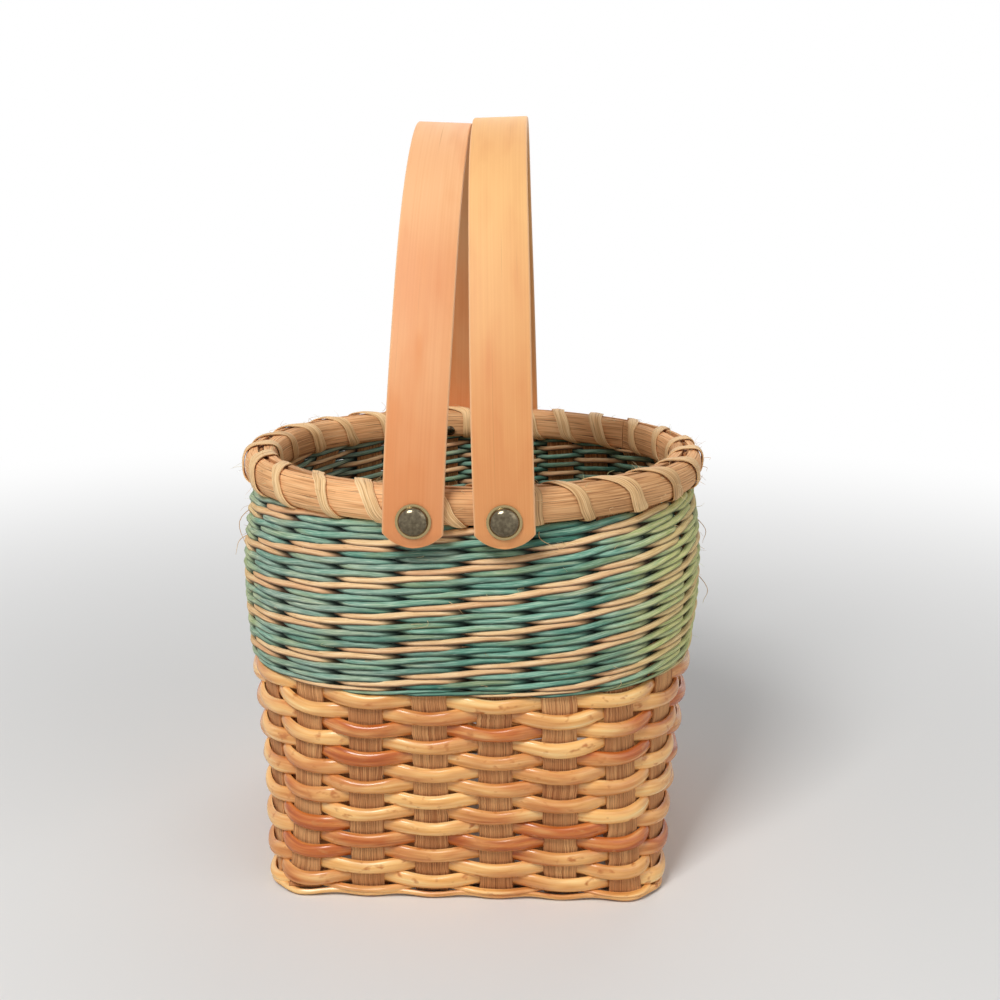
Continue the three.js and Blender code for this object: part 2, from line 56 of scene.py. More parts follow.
camera_data = bpy.data.cameras.new("camera")
camera_data.sensor_width = 36
camera_data.lens = 45.81
camera_data.clip_start = 0.01
camera = in_scene("camera", camera_data)
bpy.context.scene.camera = camera
camera_place = [0.02745, -0.50939, 0.25791]
yaw, pitch, roll = -0.0329, 0.2314, 0.0030
ahead = np.array([np.sin(yaw) * np.cos(pitch), np.cos(yaw) * np.cos(pitch), -np.sin(pitch)])
level = np.array([np.cos(yaw), -np.sin(yaw), 0])
upward = np.cross(level, ahead)
right = np.cos(roll) * level + np.sin(roll) * upward
upward = np.cos(roll) * upward - np.sin(roll) * level
turned = np.eye(4)
turned[:3, :4] = np.stack([right, upward, -ahead, camera_place], axis=1)
camera.matrix_world = turned.T.tolist()
bpy.context.view_layer.update()

# Stakes
# Flat reed, split from the core of the palm: six strips each way, plain-woven under the base and
# bent up into the wall, and one more split to half width in the middle of the back.
stake_width, stake_thickness, split_stake_width = 12.7, 1.2, 6.4
base_pitch, base_half, base_corner = 24.4, 71.6, 9
rim_radius, hoop_bottom, hoop_height = 85.2, 149.5, 12.5
wall_swell, swell_rise, flare_rate, rounding_rate = 4.2, 2.6, 0.6, 0.68
stake_inset = 0.8
stake_top = hoop_bottom + hoop_height - stake_inset
# Six uprights a side and the split one, number 15, between the six at the back. At the foot it
# stands in the middle gap, and higher up the seven move apart until they share the room of six.
stake_count, whole_stakes, split_stake, split_stake_settle = 25, 24, 15, 40
rim_pitch = 2 * np.pi * rim_radius / whole_stakes
side_of = np.repeat([0, 1, 2, 3], [6, 6, 7, 6])
six = np.arange(6) - 2.5
vertical = np.array([0, 0, 1.0])
steps_in_base = np.concatenate([six, six, six[:3], [0], six[3:], six])
steps_on_rim = np.concatenate([six, six, (np.arange(7) - 3) * 5 / 6, six])
cane_thickness, cane_pitch, cane_low, cane_high, cane_taper = 2.2, 5.78, 2.5, 86.3, 2.9


def wall_shape(z):
    """Half width, corner radius and pitch of the stakes at a height. The half width is a power of
    the height, with half a sine of a higher power added for the swell. The radius is another power,
    and the pitch changes evenly."""
    t = np.clip(z / hoop_bottom, 0, 1)
    half = base_half + (rim_radius - base_half) * t**flare_rate
    half = half + wall_swell * np.sin(np.pi * t**swell_rise)
    corner = base_corner + (rim_radius - base_corner) * t**rounding_rate
    return half, corner, base_pitch + (rim_pitch - base_pitch) * t


def arc_to_stake(number, z):
    """Distance along the wall from the middle of the front to a stake, by its whole number."""
    turns, i = np.divmod(number, stake_count)
    half, corner, pitch = wall_shape(z)
    side_length = 2 * (half - corner) + corner * np.pi / 2
    settled = np.clip(z / split_stake_settle, 0, 1)
    steps = steps_in_base[i] + (steps_on_rim[i] - steps_in_base[i]) * settled
    return (side_of[i] + 4 * turns) * side_length + steps * pitch


def arc_at(s, z):
    """The same at a real stake number, shared evenly between the two stakes beside it."""
    low = np.floor(s).astype(int)
    return arc_to_stake(low, z) * (1 - s + low) + arc_to_stake(low + 1, z) * (s - low)


def wall_at(s, z):
    """Place on the wall and its outward normal at a real stake number and a height. The wall is
    four flats joined by quarter circles."""
    s, z = np.broadcast_arrays(s, z)
    arc = arc_at(s, z)
    half, corner, _ = wall_shape(z)
    side_length = 2 * (half - corner) + corner * np.pi / 2
    side = np.round(arc / side_length)
    along = arc - side * side_length
    straight = np.maximum(half - corner, 0)
    turn = np.maximum(np.abs(along) - straight, 0) / corner
    sign = np.sign(along)
    x = sign * (np.minimum(np.abs(along), straight) + corner * np.sin(turn))
    y = -(half - corner) - corner * np.cos(turn)
    nx, ny = sign * np.sin(turn), -np.cos(turn)
    cos, sin = np.cos(side * np.pi / 2), np.sin(side * np.pi / 2)
    place = np.stack([x * cos - y * sin, x * sin + y * cos, z], -1)
    normal = np.stack([nx * cos - ny * sin, nx * sin + ny * cos, 0 * z], -1)
    return place, normal


def smooth(share):
    """Zero to one with level ends: three squared shares less two cubed."""
    share = np.clip(share, 0, 1)
    return share * share * (3 - 2 * share)


def wander(along, reach, period, seed):
    """Slow random drift along a strand: four sines with random phases and nearly one period."""
    random = np.random.default_rng(seed)
    phases = random.uniform(0, 2 * np.pi, 4)
    rates = random.uniform(0.6, 1.7, 4) * 2 * np.pi / period
    return reach * np.sin(np.asarray(along)[..., None] * rates + phases).sum(-1) / 2


def lengths(rings):
    """Distance along a run of rings, measured through their middles."""
    middles = rings.mean(1)
    return np.concatenate([[0], np.cumsum(np.linalg.norm(np.diff(middles, axis=0), axis=1))])


def skin(name, rings, slot, shader, stands_for, body="basket_body", shift=0, sharp=35, **tones):
    """A closed surface through rings of points, in millimetres: quads between neighbouring rings and
    a fan over each end. The UV map holds metres along and metres around. A tone is one value a ring,
    or one for each of its points."""
    stations, points, _ = rings.shape
    ends = rings[[0, -1]].mean(1)
    places = np.concatenate([rings.reshape(-1, 3), ends]) / 1000
    j = np.arange(points)
    k = (j + 1) % points
    row = np.arange(stations - 1)[:, None] * points
    a, b = row + j, row + k
    quads = np.stack([a, b, b + points, a + points], -1).reshape(-1, 4)
    last, apex = (stations - 1) * points, stations * points
    first_fan = np.stack([k, j, apex + 0 * j], -1)
    last_fan = np.stack([last + j, last + k, apex + 1 + 0 * j], -1)
    corners = places[quads]
    volume = np.einsum("ij,ij->i", corners[:, 0], np.cross(corners[:, 1], corners[:, 2])).sum()
    along = (lengths(rings) + shift) / 1000
    around = np.linalg.norm(rings - np.roll(rings, -1, 1), axis=2).mean(0)
    around = np.concatenate([[0], np.cumsum(around)]) / 1000
    u, u_next, v, v_next = (
        np.broadcast_to(values, a.shape).ravel()
        for values in (along[:-1, None], along[1:, None], around[:-1], around[1:])
    )
    quad_uv = np.stack([u, v, u, v_next, u_next, v_next, u_next, v], -1).reshape(-1, 4, 2)
    fan_uv = np.zeros((2, points, 3, 2))
    fan_uv[0, :, :, 0], fan_uv[1, :, :, 0] = along[0], along[-1]
    fan_uv[:, :, 0, 1], fan_uv[:, :, 1, 1] = around[1:], around[:-1]
    if volume < 0:
        quads, quad_uv = quads[:, ::-1], quad_uv[:, ::-1]
        first_fan, last_fan = first_fan[:, ::-1], last_fan[:, ::-1]
        fan_uv = fan_uv[:, :, ::-1]
    corner_list = np.concatenate([quads.ravel(), first_fan.ravel(), last_fan.ravel()])
    sizes = np.concatenate([np.full(len(quads), 4), np.full(2 * points, 3)])
    mesh = bpy.data.meshes.new(name)
    mesh.vertices.add(len(places))
    mesh.vertices.foreach_set("co", places.ravel())
    mesh.loops.add(len(corner_list))
    mesh.loops.foreach_set("vertex_index", corner_list)
    mesh.polygons.add(len(sizes))
    mesh.polygons.foreach_set("loop_start", np.concatenate([[0], np.cumsum(sizes)[:-1]]))
    uv = mesh.uv_layers.new(name="grain")
    uv.data.foreach_set("uv", np.concatenate([quad_uv.ravel(), fan_uv.ravel()]))
    mesh.update(calc_edges=True)
    for tone, values in tones.items():
        values = np.asarray(values, float).reshape(stations, -1)
        spread = np.broadcast_to(values, (stations, points))
        spread = np.concatenate([spread.ravel(), [spread[0].mean(), spread[-1].mean()]])
        mesh.attributes.new(tone, "FLOAT", "POINT").data.foreach_set("value", spread)
    mesh.shade_smooth()
    mesh.set_sharp_from_angle(angle=np.radians(sharp))
    mesh.materials.append(shader)
    piece = in_scene(name, mesh)
    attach(piece, body)
    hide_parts(*stands_for)


def linear(hex_colour):
    """An sRGB hex colour as linear red, green, blue and alpha."""
    values = np.array([int(hex_colour[i : i + 2], 16) for i in (1, 3, 5)]) / 255
    values = np.where(values <= 0.04045, values / 12.92, ((values + 0.055) / 1.055) ** 2.4)
    return (*values.tolist(), 1)


def add(tree, kind, inputs=(), stops=(), **settings):
    """Adds a node with its settings and fills or links its sockets. Stops are places and colours."""
    made = tree.nodes.new(kind)
    for key, value in settings.items():
        setattr(made, key, value)
    for key, value in dict(inputs).items():
        if isinstance(value, bpy.types.NodeSocket):
            tree.links.new(value, made.inputs[key])
        else:
            made.inputs[key].default_value = value
    for number, (place, colour) in enumerate(stops):
        if number > 1:
            made.color_ramp.elements.new(place)
        made.color_ramp.elements[number].position = place
        made.color_ramp.elements[number].color = linear(colour)
    return made


def fibrous(name, colours, blends, grain, run, patch, roughness, relief, spots):
    """Plant fibre. Noise drawn out along the strand, a grain width across and a run long, goes
    through three colours and roughens the surface. Each blend gives three more, mixed in by an
    attribute of the mesh plus a share of a slower noise. Spots are a colour, a length, a width and
    a threshold. Sizes in millimetres."""
    dark_at, middle_at, light_at = 0.3, 0.5, 0.7
    spot_edge, unevenness = 0.12, 0.12
    spot_colour, spot_length, spot_width, threshold = spots
    shader = bpy.data.materials.new(name)
    shader.use_nodes = True
    tree = shader.node_tree
    tree.nodes.clear()
    uv = add(tree, "ShaderNodeUVMap", uv_map="grain").outputs["UV"]
    noises = []
    for length, width, detail, shift in (
        (run, grain, 3, 0),
        (patch, patch / 4, 2, 5),
        (spot_length, spot_width, 2, 11),
    ):
        scale = (1000 / length, 1000 / width, 1)
        drawn_out = {"Vector": uv, "Scale": scale, "Location": [shift] * 3}
        place = add(tree, "ShaderNodeMapping", drawn_out).outputs["Vector"]
        cloud = {"Vector": place, "Scale": 1, "Detail": detail}
        noises.append(add(tree, "ShaderNodeTexNoise", cloud).outputs["Fac"])
    fine, slow, spotted = noises
    ramps = []
    for values in (colours, *(blend[2] for blend in blends)):
        stops = list(zip((dark_at, middle_at, light_at), values))
        ramps.append(add(tree, "ShaderNodeValToRGB", {"Fac": fine}, stops=stops).outputs["Color"])
    colour = ramps[0]
    for (attribute, share, _), ramp in zip(blends, ramps[1:]):
        spread = {"From Min": dark_at, "From Max": light_at, "To Min": -share, "To Max": share}
        drift = add(tree, "ShaderNodeMapRange", {"Value": slow, **spread}).outputs["Result"]
        carried = add(tree, "ShaderNodeAttribute", attribute_name=attribute).outputs["Fac"]
        both = {0: carried, 1: drift}
        amount = add(tree, "ShaderNodeMath", both, operation="ADD", use_clamp=True).outputs["Value"]
        mixed = {0: amount, 6: colour, 7: ramp}
        colour = add(tree, "ShaderNodeMix", mixed, data_type="RGBA").outputs[2]
    spot = {"Value": spotted, "From Min": threshold, "From Max": threshold + spot_edge}
    amount = add(tree, "ShaderNodeMapRange", spot).outputs["Result"]
    mixed = {0: amount, 6: colour, 7: linear(spot_colour)}
    colour = add(tree, "ShaderNodeMix", mixed, data_type="RGBA").outputs[2]
    rough = {"Value": fine, "To Min": roughness - unevenness, "To Max": roughness + unevenness}
    bump = {"Height": fine, "Distance": relief / 1000, "Strength": 1}
    surface = {
        "Base Color": colour,
        "Roughness": add(tree, "ShaderNodeMapRange", rough).outputs["Result"],
        "Normal": add(tree, "ShaderNodeBump", bump).outputs["Normal"],
        "IOR": 1.5,
    }
    finish = add(tree, "ShaderNodeBsdfPrincipled", surface)
    add(tree, "ShaderNodeOutputMaterial", {"Surface": finish.outputs["BSDF"]})
    return shader


# Split reed is matte and hairy, with long open fibres and short dark pores.
split_reed = fibrous(
    "split reed, unfinished",
    ("#8C4C24", "#C0814E", "#E8AD72"),
    [("tone", 0.45, ("#A86E40", "#D9A067", "#F9C789"))],
    grain=0.32, run=34, patch=40, roughness=0.82, relief=0.3,
    spots=("#6C3816", 16, 0.32, 0.6),
)


def reed_section(width, thickness, cup):
    """Sixteen points round a flat strip: five across each hollowed face, and three on each edge."""
    edge = 0.3 * thickness
    across = np.array([-1, -0.55, 0, 0.55, 1])
    hollow = np.array([0, 0.7, 1, 0.7, 0])
    inner = width / 2 - edge
    a = np.concatenate([across * inner, [width / 2] * 3, -across * inner, [-width / 2] * 3])
    side = np.array([-0.5 * thickness + edge, 0, 0.5 * thickness - edge])
    b = np.concatenate(
        [-thickness / 2 + cup * hollow, side, thickness / 2 + cup * hollow, -side]
    )
    return a, b


def ribbon(centres, across, out, width, thickness, seed):
    """Rings of a flat strip along a path, with the wandering edges and rippled faces of split
    reed."""
    cup, edge_wave, edge_nick, face_ripple = 0.12, 0.22, 0.1, 0.07
    run = lengths(centres[:, None])
    a, b = reed_section(width, thickness, cup)
    left_edge = wander(run, edge_wave, 17, seed) + wander(run, edge_nick, 3.5, seed + 50)
    right_edge = wander(run, edge_wave, 19, seed + 100) + wander(run, edge_nick, 3.1, seed + 150)
    share = a / width + 0.5
    widen = left_edge[:, None] * (share - 1) + right_edge[:, None] * share
    ripple = wander(run, face_ripple, 5, seed + 200)[:, None] * np.cos(a * 1.1 + seed)
    return (
        centres[:, None]
        + across[:, None] * (a + widen)[..., None]
        + out[:, None] * (b + ripple)[..., None]
    )


def stake_in_wall(number, from_z):
    """Middle line, tangent and normal of a stake in the wall. The cane presses it in where it
    passes outside and out where it passes inside: a cosine whose half period is a row of cane."""
    first_row, pressure, fade = 2.46, 0.22, 4
    z = np.linspace(from_z, stake_top, 120)
    place, normal = wall_at(float(number), z)
    row = (z - first_row) / cane_pitch + number / stake_count
    press = pressure * np.cos(np.pi * (row + number))
    press = press * smooth((cane_high - z) / fade) * smooth((z - fade) / fade)
    return place + normal * press[:, None], np.cross(vertical, normal), normal


def crossing_stake(number, front_to_back):
    """A stake from rim to rim. In the base it steps between an upper and a lower layer, and a
    quarter circle joins the base to each wall."""
    low, high, bend, play = 0.85, 2.2, 2.2, 0.3
    layer = np.array([high if ((number + j) % 2 == 0) == front_to_back else low for j in range(6)])
    lines = six * base_pitch
    reach = stake_width / 2 + play
    knots = np.stack([lines - reach, lines + reach], -1).ravel()
    heights = np.repeat(layer, 2)
    # Walls are the uprights at its two ends. The split one comes after the third at the back.
    if front_to_back:
        walls = (number, 18 - number if number < 3 else 17 - number)
        direction, across, flips = *np.eye(3)[[1, 0]], (1, -1)
    else:
        walls = (24 - number, 6 + number)
        direction, across, flips = *np.eye(3)[[0, 1]], (-1, 1)
    offset = across * lines[number]
    parts = []
    for end, (wall, flip) in enumerate(zip(walls, flips)):
        sign = (-1, 1)[end]
        height = layer[-end]
        centres, tangent, normal = stake_in_wall(wall, height + bend)
        edge = wall_shape(height + bend)[0]
        phi = np.linspace(0, np.pi / 2, 7)[:-1, None]
        arc = offset + direction * sign * (edge - bend + bend * np.sin(phi))
        arc[:, 2] = height + bend - bend * np.cos(phi[:, 0])
        arc_out = direction * sign * np.sin(phi) - vertical * np.cos(phi)
        side = (
            np.concatenate([arc, centres]),
            np.concatenate([np.broadcast_to(across, arc.shape), tangent * flip]),
            np.concatenate([arc_out, normal]),
        )
        parts.append([values[::-1] if end == 0 else values for values in side])
    run = np.linspace(parts[0][0][-1] @ direction, parts[1][0][0] @ direction, 150)[1:-1]
    step = np.clip(np.searchsorted(knots, run) - 1, 0, len(knots) - 2)
    share = smooth((run - knots[step]) / (knots[step + 1] - knots[step]))
    middle = offset + direction * run[:, None]
    middle[:, 2] = heights[step] * (1 - share) + heights[step + 1] * share
    middle[run < knots[0], 2], middle[run > knots[-1], 2] = heights[0], heights[-1]
    down = np.broadcast_to(-vertical, middle.shape)
    base = (middle, np.broadcast_to(across, middle.shape), down)
    return [np.concatenate(three) for three in zip(parts[0], base, parts[1])]


for number in range(6):
    for front_to_back, way in ((True, "front_to_back"), (False, "left_to_right")):
        seed = 10 + number + 6 * front_to_back
        rings = ribbon(*crossing_stake(number, front_to_back), stake_width, stake_thickness, seed)
        tone = wander(lengths(rings), 0.3, 90, seed + 300) + 0.35
        node = f"stake_{way}_{number + 1}"
        skin(f"{node}_reed", rings, "flat_reed", split_reed, [node], shift=seed * 211, tone=tone)
split_stake_foot = 3.4
path = stake_in_wall(split_stake, split_stake_foot)
rings = ribbon(*path, split_stake_width, stake_thickness, 40)
skin(
    "split_stake_back_reed",
    rings,
    "flat_reed",
    split_reed,
    ["split_stake_back"],
    shift=9100,
    tone=np.full(len(rings), 0.4),
)

# Lower band of cane
# The glossy outer skin of rattan, half-round, woven over one stake and under the next. It climbs a
# row each turn without a break, because the number of uprights is odd, and thins out at both ends.
cane_turns = 14.7
last_pass = 2 * round(cane_turns * stake_count / 2)
# Cane skin is hard and polished. It darkens from straw to burnt orange, with fine lengthwise lines.
glossy_cane = fibrous(
    "rattan cane, natural gloss skin",
    ("#EDAA5C", "#FDC57A", "#FFDC9A"),
    [
        ("tone", 0.35, ("#A54C18", "#C3682C", "#DE8C46")),
        # Painted shade where the cane lies against the stakes
        ("crevice", 0, ("#4A2008", "#602C0C", "#783C14")),
    ],
    grain=1.8, run=30, patch=22, roughness=0.24, relief=0.03,
    spots=("#C87C40", 5, 3.4, 0.6),
)


def cane_rings(first, last, seed):
    """Half-round section over one, under one. It climbs a pitch each turn between two level lines
    and tapers at both. Its offset from the wall is a cosine of the pass number less its square, so
    that each float stays out until it reaches the next stake. It sags where it is out and humps in
    each gap, a cosine of twice the rate, and it is deepest in a gap."""
    steps_a_pass, row_gap, free_height = 14, 0.12, 5
    sway, sag, hump = 0.22, 0.25, 0.35
    slimmest, deepening, unevenness = 0.96, 0.13, 0.06
    middle, throw, flattening = 1.35, 2.4, 0.95
    passes = np.linspace(first, last, (last - first) * steps_a_pass + 1)
    turns = passes / stake_count
    top = np.minimum(cane_low + cane_taper + cane_pitch * turns, cane_high)
    bottom = np.maximum(cane_low, cane_low + cane_taper + row_gap + cane_pitch * (turns - 1))
    free = smooth((top - bottom) / free_height)
    wave = -np.cos(np.pi * passes)
    height = (bottom + top) / 2 + wander(passes, sway, 3.1, seed) * free
    height = height - sag * wave + hump * (1 - 2 * wave**2) * free
    depth = slimmest + deepening * (1 - wave**2) + wander(passes, unevenness, 2.3, seed + 9)
    theta = np.linspace(0, np.pi, 11)
    out = np.concatenate([np.sin(theta) ** 0.85 - 0.5, [-0.62, -0.66, -0.62]])
    up = np.concatenate([-np.cos(theta), [0.6, 0, -0.6]]) / 2
    z = height[:, None] + up * (top - bottom)[:, None] * depth[:, None]
    place, normal = wall_at(-passes[:, None], z)
    radial = (middle + throw * wave - flattening * wave**2)[:, None] + out * cane_thickness
    # Painted shade, deepest just inside the wall, where the cane lies against the stakes.
    hidden = 0.7 * np.exp(-(((radial + 1.1) / 0.9) ** 2))
    return passes, place + normal * radial[..., None], hidden


# Shade of each row from the base up, straw at 0 and burnt orange at 1
row_shades = (0.15, 0.2, 0.75, 0.95, 0.6, 0.2, 0.3, 0.55, 0.35, 0.75, 0.3, 0.85, 0.4, 0.15, 0.25)
lead_in = 12
for row, shade in enumerate(row_shades):
    # A length ends at an even pass, which is inside a stake, so that its joint is hidden.
    first, last = (stake_count * n + stake_count * n % 2 for n in (row, row + 1))
    passes, rings, hidden = cane_rings(first if row else -lead_in, min(last, last_pass), 70 + row)
    node = f"cane_row_{row + 1:02d}"
    skin(
        f"{node}_cane",
        rings,
        "amber_cane" if row % 4 == 2 else "golden_cane",
        glossy_cane,
        [node],
        shift=row * 600,
        tone=np.clip(shade + wander(passes, 0.34, 5, 90 + row), 0, 1),
        crevice=hidden,
    )

# Strand at the edge of the base
# A thin peeled cane laid round the outside of the stakes where they turn up, to hold the edge.
strand_middle, strand_half_height, strand_dip = 1.85, 1.25, 0.35
strand_off, strand_half_thickness, strand_swing = 2.0, 1.1, 0.5
passes = np.linspace(0, stake_count, 350)
theta = np.linspace(0, 2 * np.pi, 11)[:-1]
over = np.cos(2 * np.pi * passes)
dip = (-strand_dip * over + wander(passes, 0.12, 5, 141))[:, None]
place, normal = wall_at(
    passes[:, None] + split_stake, strand_middle + dip + strand_half_height * np.sin(theta)
)
off = strand_off + strand_swing * over[:, None] + strand_half_thickness * np.cos(theta)
rings = place + normal * off[..., None]
skin(
    "base_binding_cane",
    rings,
    "golden_cane",
    glossy_cane,
    ["base_binding_strand"],
    shift=9900,
    tone=0.2 + wander(passes, 0.15, 6, 140),
    crevice=0 * passes,
)

# Upper band of wale
# Three round rods of rattan core wound together: each goes in front of two stakes and behind the
# third. Two are dyed teal and one is left plain, so the plain one shows as a climbing stripe.
wale_low, wale_high, wale_pitch, rod_diameter = 86.2, 150.2, 4.3, 2.5
wale_start, wale_turns = 7.3, 15.4
# Rattan core takes dye unevenly: matte, with pale scuffs, and faded to yellow-green where the sun
# has reached it. Shade is painted in, darkest down in the weave and on the under side of each rod.
dyed_core = fibrous(
    "rattan core, dyed teal",
    ("#4E8672", "#80B29A", "#B8D4BC"),
    [
        ("tone", 0.45, ("#0C4A3D", "#1E6453", "#3E8670")),
        ("dusty", 0.3, ("#668273", "#93AA98", "#C2CFBA")),
        ("faded", 0.25, ("#A9BA6E", "#CFCF88", "#EADDA4")),
        ("crevice", 0, ("#0A1A16", "#0F211D", "#162B26")),
    ],
    grain=0.4, run=7, patch=30, roughness=0.75, relief=0.16,
    spots=("#A8BFAE", 5, 0.4, 0.64),
)
# Undyed core is peachy and matte with fine lengthwise lines, and is painted darker down in the
# weave and on its under side, as shade.
plain_core = fibrous(
    "rattan core, plain",
    ("#DDB07A", "#F5CF9A", "#FDE2B8"),
    [
        ("tone", 0.4, ("#C98D60", "#DFA97A", "#EEC296")),
        ("faded", 0.15, ("#CFB072", "#E3C888", "#EFDAA4")),
        ("crevice", 0, ("#2A150B", "#3A1F11", "#4C2B19")),
    ],
    grain=0.4, run=9, patch=40, roughness=0.72, relief=0.16,
    spots=("#A87850", 4, 0.35, 0.64),
)


def crevice(radial, up):
    """Painted shade: all of it near the wall, none a rod's thickness off it, and half as much inside
    the basket. The under side of a rod gets painted shade too."""
    near_wall, over, inside_share, under_share = 0.6, 2.1, 0.5, 0.9
    hidden = 1 - smooth((np.abs(radial) - near_wall) / over)
    hidden = hidden * np.where(radial > 0, 1, inside_share)
    return np.maximum(hidden, under_share * smooth(-1.3 * up + 0.05))


def rod_rings(rod, seed):
    """A rod over two and under one. Its offset from the wall steps between inside and outside in
    the gaps, and bulges between the two stakes that it passes. Its height swings as a cosine of
    period three stakes, so that it comes out above one neighbour and goes in below the other."""
    steps_a_stake, stagger, crossing, play = 10, 1.2, 0.68, 0.05
    bulge, bulge_length, wobble, swing, thinnest = 0.55, 0.3, 0.14, 0.31, 0.22
    first = wale_start + stagger + (rod - wale_start - stagger) % 3
    steps = np.arange(first - 0.5, wale_start + wale_turns * stake_count - 1.5, 1 / steps_a_stake)
    phase = (steps + 0.5 - rod) % 3
    turns = (steps - wale_start) / stake_count
    top = np.minimum(wale_low + wale_pitch * turns, wale_high)
    bottom = np.maximum(wale_low, wale_low + wale_pitch * (turns - 1))
    scale = np.clip((top - bottom) / wale_pitch, thinnest, 1)
    comes_out, goes_in, comes_again = (
        smooth((phase - (gap - crossing / 2)) / crossing) for gap in (0, 2, 3)
    )
    outside = comes_out - goes_in + comes_again
    lane = stake_thickness / 2 + rod_diameter / 2 + play
    out = lane * (2 * outside - 1) + bulge * np.exp(-(((phase - 1) / bulge_length) ** 2))
    out = out + wander(steps, wobble, 2.7, seed)
    rise = swing * wale_pitch * np.cos(np.pi * (phase - 0.25) / 1.5) * scale
    height = (bottom + top) / 2 + rise + wander(steps, wobble, 3.1, seed + 1)
    theta = np.linspace(0, 2 * np.pi, 11)[:-1]
    radius = rod_diameter / 2 * scale * (1 + wander(steps, 0.05, 4, seed + 2))
    z = height[:, None] + radius[:, None] * np.sin(theta)
    place, normal = wall_at(-steps[:, None], z)
    radial = out[:, None] + radius[:, None] * np.cos(theta)
    return steps, place + normal * radial[..., None], crevice(radial, np.sin(theta)), np.sin(theta)


# The sun has faded the right of the front and, less, the left edge. The left is dusty.
for rod, (name, shader) in enumerate(
    (("plain", plain_core), ("teal_one", dyed_core), ("teal_two", dyed_core))
):
    steps, rings, hidden, up = rod_rings(rod, 160 + 10 * rod)
    # Tone drifts at random along the rod, and the under side of the rod is given a painted shade.
    tone = 0.3 + wander(steps, 0.32, 14, 165 + rod)[:, None] + 0.9 * smooth(0.4 - up)
    middles = rings.mean(1)
    faded = smooth((middles[:, 0] - 44) / 36) * smooth((20 - middles[:, 1]) / 60)
    faded = faded + 0.45 * smooth((-middles[:, 0] - 72) / 14) + wander(steps, 0.15, 3, 168 + rod)
    dusty = 0.7 * smooth((10 - middles[:, 0]) / 70) + wander(steps, 0.3, 4, 148 + rod)
    skin(
        f"wale_rod_{name}",
        rings,
        "dyed_rod" if rod else "hoop_reed",
        shader,
        ["wale_band"],
        shift=rod * 777,
        tone=np.clip(tone, 0, 1),
        faded=np.clip(faded, 0, 1),
        dusty=np.clip(dusty, 0, 1),
        crevice=hidden,
    )

# Rim hoops
# Half-round reed, flat side in, bent to a circle inside and outside the stake tops. The ends are
# cut on a slant and overlap. The wood is pale with long brown fibres, and darker inside.
hoop_thickness, outer_from, inner_from = 5.2, 1.46, 0.9
split_hoop = fibrous(
    "half-round reed, unfinished",
    ("#CA8D55", "#F6B97F", "#FFD19A"),
    [("tone", 0.3, ("#8E5E36", "#C48E5A", "#E0AF7A"))],
    grain=0.55, run=24, patch=60, roughness=0.75, relief=0.25,
    spots=("#7E4C26", 26, 0.55, 0.6),
)


def hoop_rings(start, side, from_rim, seed):
    """Half-round section carried round the rim: flat on the stakes, the outer face half an ellipse.
    Its two ends thin to a quarter over the length of the slant, and meet."""
    slant, thinnest, joint_gap, waver = 14, 0.25, 0.006, 0.22
    roundness = 0.7 if side > 0 else 0.4
    turn = np.linspace(0, 1, 260)
    theta = np.linspace(-np.pi / 2, np.pi / 2, 13)
    out = np.concatenate([np.abs(np.cos(theta)) ** roundness, [0, 0, 0]])
    up = np.concatenate([np.sin(theta) * 0.5, [0.3, 0, -0.3]])
    arc = turn * 2 * np.pi * rim_radius
    taper = np.minimum(smooth(arc / slant), smooth((arc[-1] - arc) / slant))[:, None]
    taper = taper * (1 - thinnest) + thinnest
    drift = wander(arc, waver, 120, seed)[:, None]
    radius = rim_radius + side * (from_rim + out * hoop_thickness * taper)
    height = hoop_bottom + hoop_height * (0.5 + up * (1 + 0.02 * drift)) + drift * 0.5
    angle = (start + turn * (2 * np.pi - joint_gap))[:, None]
    rings = np.stack([radius * np.cos(angle), radius * np.sin(angle), height + 0 * radius], -1)
    return arc, rings


# The right of the front is stained, as the lashing is there.
for name, start, side, from_rim, shade in (
    ("outer", 2.2, 1, outer_from, 0.15),
    ("inner", 0.7, -1, inner_from, 0.4),
):
    arc, rings = hoop_rings(start, side, from_rim, 200 + side)
    middles = rings.mean(1)
    stained = 0.65 * smooth((middles[:, 0] - 5) / 35) * smooth((-10 - middles[:, 1]) / 40)
    skin(
        f"{name}_hoop_reed",
        rings,
        "hoop_reed",
        split_hoop,
        [f"{name}_hoop"],
        shift=1300 * (2 + side),
        tone=shade + stained + wander(arc, 0.3, 70, 210 + side),
    )

# Lashing
# Flat cane, split thin, wound over both hoops and through the wall under them, one turn in each
# gap between stakes. It leans as it goes, and frays at its edges.
lash_width, lash_thickness, lash_play, squareness = 4.8, 0.9, 0.15, 2.6
pivot_x, pivot_z = 15.346, 152.8
flat_cane = fibrous(
    "flat cane, split",
    ("#BC8A54", "#F0C58C", "#FFDFAC"),
    [("tone", 0.4, ("#8A5A30", "#C49660", "#E8C08A"))],
    grain=0.42, run=24, patch=35, roughness=0.62, relief=0.25,
    spots=("#85562E", 10, 0.35, 0.62),
)


def rim_turn(s):
    """Angle round the rim of a real stake number."""
    return arc_at(s, hoop_bottom) / rim_radius - np.pi / 2


def by_rivet(s, room):
    """Whether a real stake number is within some millimetres of a rivet, and the sign of the way
    from it in stake numbers."""
    x, y = np.cos(rim_turn(s)) * rim_radius, np.sin(rim_turn(s))
    beside = np.abs(x) - pivot_x
    return (np.abs(beside) < room) & (np.abs(y) > 0.8), -np.sign(x * beside * y)


def lash_passage(k):
    """The gap after stake k, moved away from a rivet as far as the gap lets it."""
    room, move = 7.6, 0.1
    near, way = by_rivet(k + 0.5, room)
    return k + 0.5 + near * way * move


def unit(vectors):
    """Vectors made one long."""
    return vectors / np.linalg.norm(vectors, axis=-1, keepdims=True)


